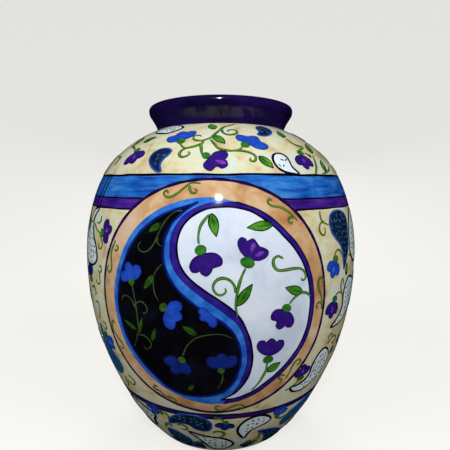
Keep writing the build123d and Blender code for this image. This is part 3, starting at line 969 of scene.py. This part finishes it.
def lower_motifs():
    brushes = Brushes("lower", around)
    stems(brushes, [
        [(-3, -114), (0, -117), (1, -120)],
        [(-22, -135), (-20, -132.5), (-18, -134), (-17, -138), (-19, -141.5), (-20.5, -139.5)],
        [(-4, -141), (-3, -138), (-1, -137.5), (1, -140), (1.5, -144), (0, -148), (-3, -150)],
        [(-31, -147), (-30, -142), (-28, -138), (-26.5, -139), (-26.5, -143)],
        [(-27, -119), (-25.5, -124), (-26, -132)],
        [(21, -150), (22, -158), (22, -165)],
        [(27, -127), (29, -131), (32, -133), (34, -131)],
    ])
    paisley(brushes, "navy", [
        (-26.5, -135), (-25, -127), (-21, -118), (-15, -114), (-9, -115), (-5, -122), (-4.5, -129),
        (-6, -136), (-9, -137.5), (-13, -135), (-15.5, -130), (-18, -129.5), (-22, -131),
    ])
    paisley(brushes, "pale", [
        (8, -137), (8.5, -130), (11, -122), (15, -117.5), (19, -118), (22.5, -122), (24, -127),
        (22.5, -132), (18, -136), (15, -140), (13.5, -146), (12.5, -154), (10, -148), (8.5, -142),
    ], 2.8)
    paisley(brushes, "pale", [
        (-16.5, -143), (-10, -147), (-4, -149.5), (1, -152), (5, -158), (7, -165), (5.5, -172), (2, -178),
        (-1, -179.5), (-5, -177), (-8, -170), (-10, -162), (-12, -155), (-14.5, -149),
    ], 2.8)
    for navy in (
        [(-30, -149), (-25, -148), (-21, -153), (-18, -160), (-17.5, -168), (-19, -178), (-26, -183),
         (-30, -180),
         (-31, -170), (-31, -160)],
        [(19.5, -145), (24, -146), (30, -150), (36, -158), (40, -168), (41, -178), (37, -183), (31, -182),
         (28, -172),
         (26, -162), (23, -152)],
    ):
        paisley(brushes, "navy", navy)
    paisley(brushes, "teal", [
        (33, -143), (34, -133), (38, -125), (44, -119), (51, -120), (53, -130), (48, -139), (41, -146),
        (36, -150),
    ])
    paisley(brushes, "pale", [
        (-35, -131), (-41, -124), (-48, -120), (-54, -124), (-55, -134), (-50, -142), (-44, -147),
        (-40, -153), (-38, -142),
    ], 2.8)
    flower(brushes, "navy", (2, -124.5), [(-3, -128), (1.5, -135), (6, -131)], (2, -122.5), 8.5, (6, 6),
           [(1.5, -130)])
    flower(brushes, "blue", (-30, -120.5), [(-34, -114.5), (-38, -118), (-36, -126)], (-29, -121), 9,
           (6, 6))
    flower(brushes, "blue", (27.5, -124), [(25.5, -114.5), (30, -113.5), (33, -120)], (27.5, -126), 9,
           (6, 6), [(29.5, -118)])
    flower(brushes, "navy", (-13, -167), [(-17, -170), (-17, -179), (-12, -181)], (-12.5, -164.5), 9,
           (7, 6))
    flower(brushes, "navy", (16, -169), [(12, -176), (16, -182), (20, -177)], (16, -166), 9, (7, 6))
    leaves(brushes, [((20, -165), (21, -176)), ((-50, -152), (-44, -166)), ((48, -152), (46, -168))], 7.5)


def side_strip_motifs():
    """The strip between the front and the back, drawn once at each side."""
    brushes = Brushes("strip", Place(turn=90))
    stems(brushes, [
        [(-14, 72), (-10, 66), (-4, 64), (2, 66), (5, 71)],
        [(-4, 64), (-5, 56), (-2, 48), (0, 40)],
        [(12, 20), (8, 12), (2, 8), (-4, 10), (-5, 16), (-2, 19), (1, 16)],
        [(2, 8), (3, -2), (8, -10), (13, -14)],
        [(-12, -34), (-6, -40), (0, -40), (4, -46)],
        [(-4, -40), (-6, -50), (-3, -58)],
        [(10, -76), (5, -82), (-2, -84), (-6, -90), (-3, -96), (1, -93)],
        [(-20, 128), (-14, 134), (-8, 136), (-3, 132)],
        [(-14, 134), (-15, 142), (-11, 147), (-7, 144), (-9, 140)],
        [(16, 150), (10, 158), (4, 162), (-2, 158)],
        [(-22, -122), (-16, -128), (-8, -130), (-2, -126)],
        [(10, -150), (5, -144), (-2, -144), (-5, -149), (-2, -152)],
    ])
    leaves(brushes, [
        ((-2, 50), (6, 36)), ((8, 12), (14, 2)), ((3, -4), (-6, -16)), ((-6, -46), (-14, -58)),
        ((5, -82), (14, -92)), ((-8, 136), (-4, 150)), ((4, 162), (8, 176)), ((-10, 116), (-16, 126)),
        ((-16, -128), (-12, -142)), ((6, -160), (12, -174)),
    ])
    flower(brushes, "purple", (0, 38), [(-6, 30), (0, 23), (6, 29)], (0, 41), 11, (8, 7), [(0, 29)])
    flower(brushes, "blue", (4, -48), [(0, -60), (6, -64), (11, -56)], (4, -45.5), 11, (8, 7), [(6, -57)])
    flower(brushes, "blue", (-3, 130), [(-6, 120), (1, 116), (6, 124)], (-3, 133), 12, (8, 7), [(0, 121)])
    flower(brushes, "purple", (-2, 158), [(-8, 168), (-12, 158), (-8, 152)], (-1, 159), 11, (8, 7),
           [(-8, 160)])
    flower(brushes, "navy", (-2, -126), [(-4, -117), (3, -116), (8, -122)], (-3, -128), 10, (7, 7))
    paisley(brushes, "pale", [
        (12, 64), (17, 58), (18, 46), (15, 34), (11, 30), (9, 38), (8, 50), (9, 60),
    ], 2.3)
    paisley(brushes, "navy", [
        (-14, 8), (-9, 2), (-8, -10), (-11, -24), (-15, -30), (-18, -22), (-19, -8), (-18, 4),
    ])
    paisley(brushes, "teal", [
        (14, -28), (19, -34), (20, -48), (17, -62), (13, -70), (11, -60), (13, -48), (12, -36),
    ])
    paisley(brushes, "pale", [
        (-12, -66), (-7, -72), (-8, -84), (-13, -94), (-18, -96), (-20, -86), (-19, -74), (-16, -68),
    ], 2.3)
    paisley(brushes, "navy", [
        (-26, 172), (-20, 178), (-12, 182), (-10, 174), (-16, 166), (-22, 162), (-27, 164),
    ])
    paisley(brushes, "pale", [
        (16, 140), (22, 136), (24, 126), (20, 116), (14, 114), (12, 122), (14, 130),
    ], 2.3)
    paisley(brushes, "navy", [
        (-22, -148), (-14, -148), (-8, -156), (-6, -168), (-10, -178), (-18, -182), (-22, -172),
        (-24, -160),
    ])
    paisley(brushes, "pale", [
        (16, -142), (22, -136), (22, -126), (17, -118), (11, -120), (12, -130),
    ], 2.8)


ring()
fields()
light_field_motifs()
dark_field_motifs()
ring_scrolls()
shoulder_motifs()
left_side_motifs()
right_side_motifs()
lower_motifs()
side_strip_motifs()
for paint in Paint.made:
    if paint.count:
        paint.build()

# ---- the CAD parts that are shown as they are ----
FINISHES = [
    (INDIGO, ("collar_coat",)),
    (LINING, ("inner_lining",)),
    (CLAY, ("foot_ring", "floor_slab", "lower_wall", "belly_wall", "shoulder_wall", "collar")),
    (SLIP, ("foot_slip", "floor_slip", "belly_slip", "shoulder_slip", "collar_slip")),
]
for material, names in FINISHES:
    for name in names:
        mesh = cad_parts[name].data
        mesh.materials.clear()
        mesh.materials.append(material)


# ---- floor, light and camera ----
def plain(name, colour, roughness):
    material = bpy.data.materials.new(name)
    material.use_nodes = True
    shader = material.node_tree.nodes["Principled BSDF"]
    shader.inputs["Base Color"].default_value = linear(*colour)
    shader.inputs["Roughness"].default_value = roughness
    return material


def paper():
    """Pale paper that the camera sees well lit, so that it doesn't have to light the pot from below."""
    material = plain("paper", (128, 126, 123), 0.95)
    tree = material.node_tree
    seen = node(tree, "LightPath").outputs["Is Camera Ray"]
    glow = math_node(tree, "MULTIPLY", seen, 0.82)
    shader = tree.nodes["Principled BSDF"]
    shader.inputs["Emission Color"].default_value = linear(240, 240, 236)
    tree.links.new(glow, shader.inputs["Emission Strength"])
    return material


def backdrop():
    """A pale floor that curves up into a wall all round."""
    flat, bend, top, sides = 1.0, 1.6, 3.4, 96
    profile = [(flat + bend * math.sin(t), bend * (1 - math.cos(t))) for t in np.radians(range(0, 91, 6))]
    profile = [(0.01, 0.0)] + profile + [(flat + bend, top)]
    points, faces = [], []
    for radius, height in profile:
        turns = [2 * math.pi * i / sides for i in range(sides)]
        points += [(radius * math.cos(t), radius * math.sin(t), height) for t in turns]
    for row in range(len(profile) - 1):
        for i in range(sides):
            a, b = row * sides + i, row * sides + (i + 1) % sides
            faces.append((a, b, b + sides, a + sides))
    faces.append(tuple(range(sides)))
    mesh = bpy.data.meshes.new("backdrop")
    mesh.from_pydata(points, [], faces)
    mesh.shade_smooth()
    mesh.materials.append(paper())
    made = bpy.data.objects.new("backdrop", mesh)
    bpy.context.scene.collection.objects.link(made)
    made.visible_glossy = False


def lamp(name, place, aim, size, power):
    data = bpy.data.lights.new(name, "AREA")
    data.shape = "DISK"
    data.size = size
    data.energy = power
    made = bpy.data.objects.new(name, data)
    made.location = place
    made.rotation_euler = (Vector(aim) - Vector(place)).to_track_quat("-Z", "Y").to_euler()
    bpy.context.scene.collection.objects.link(made)
    return made


def sky(light, mirrored):
    """Soft even light from above, dimmer where the glaze mirrors it."""
    world = bpy.data.worlds.new("studio")
    bpy.context.scene.world = world
    world.use_nodes = True
    tree = world.node_tree
    glossy = node(tree, "LightPath").outputs["Is Glossy Ray"]
    strength = node(tree, "MapRange", {"Value": glossy, "To Min": light, "To Max": mirrored})
    tree.links.new(strength.outputs[0], tree.nodes["Background"].inputs["Strength"])


def camera():
    """A wide lens close to the pot, a little above its middle and right of its front, as in the photo."""
    distance, height = 0.4355, 0.2795
    side, down, pan = math.radians(3.3), math.radians(6.57), math.radians(0.62)
    data = bpy.data.cameras.new("camera")
    data.lens = 29.6
    data.sensor_width = 36
    made = bpy.data.objects.new("camera", data)
    made.location = (distance * math.sin(side), -distance * math.cos(side), height)
    made.rotation_euler = (math.pi / 2 - down, 0, side - pan)
    bpy.context.scene.collection.objects.link(made)
    bpy.context.scene.camera = made


bpy.context.scene.view_settings.view_transform = "Standard"
backdrop()
sky(light=0.38, mirrored=0.05)
# the small flash gives the bright highlights; the wide fills light the pot but don't show in its glaze
lamp("flash", place=(0.02, -0.62, 0.62), aim=(0, 0, 0.2), size=0.014, power=1.9)
for name, x, y in (("left_fill", -1.2, -0.9), ("right_fill", 1.2, -0.9), ("back_fill", 0, 1.5)):
    fill_lamp = lamp(name, place=(x, y, 1.2), aim=(0, 0, 0.18), size=0.9, power=19.0)
    fill_lamp.visible_glossy = False
camera()
